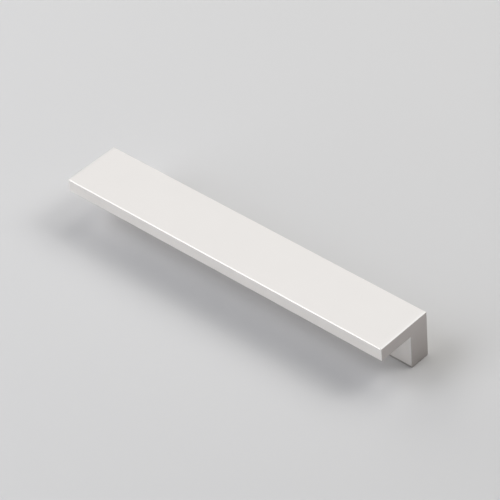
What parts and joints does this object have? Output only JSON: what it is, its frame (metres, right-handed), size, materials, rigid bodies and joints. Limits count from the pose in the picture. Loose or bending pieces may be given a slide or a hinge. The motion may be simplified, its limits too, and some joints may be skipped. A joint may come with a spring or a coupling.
{
  "type": "furniture handle",
  "caption": "Straight L-section profile handle in satin aluminium, screwed on from behind through its leg.",
  "frame": {"origin": "on the mounting face of the leg, midway between the two fixing holes", "axes": "+X along the profile, +Y from the flange's lip towards the leg's back, +Z away from the door or drawer front"},
  "size_m": [0.168, 0.0269, 0.0221],
  "materials": {
    "satin_aluminium": "satin"
  },
  "bodies": {
    "root": {"handle_profile": "satin_aluminium"}
  },
  "joints": []
}
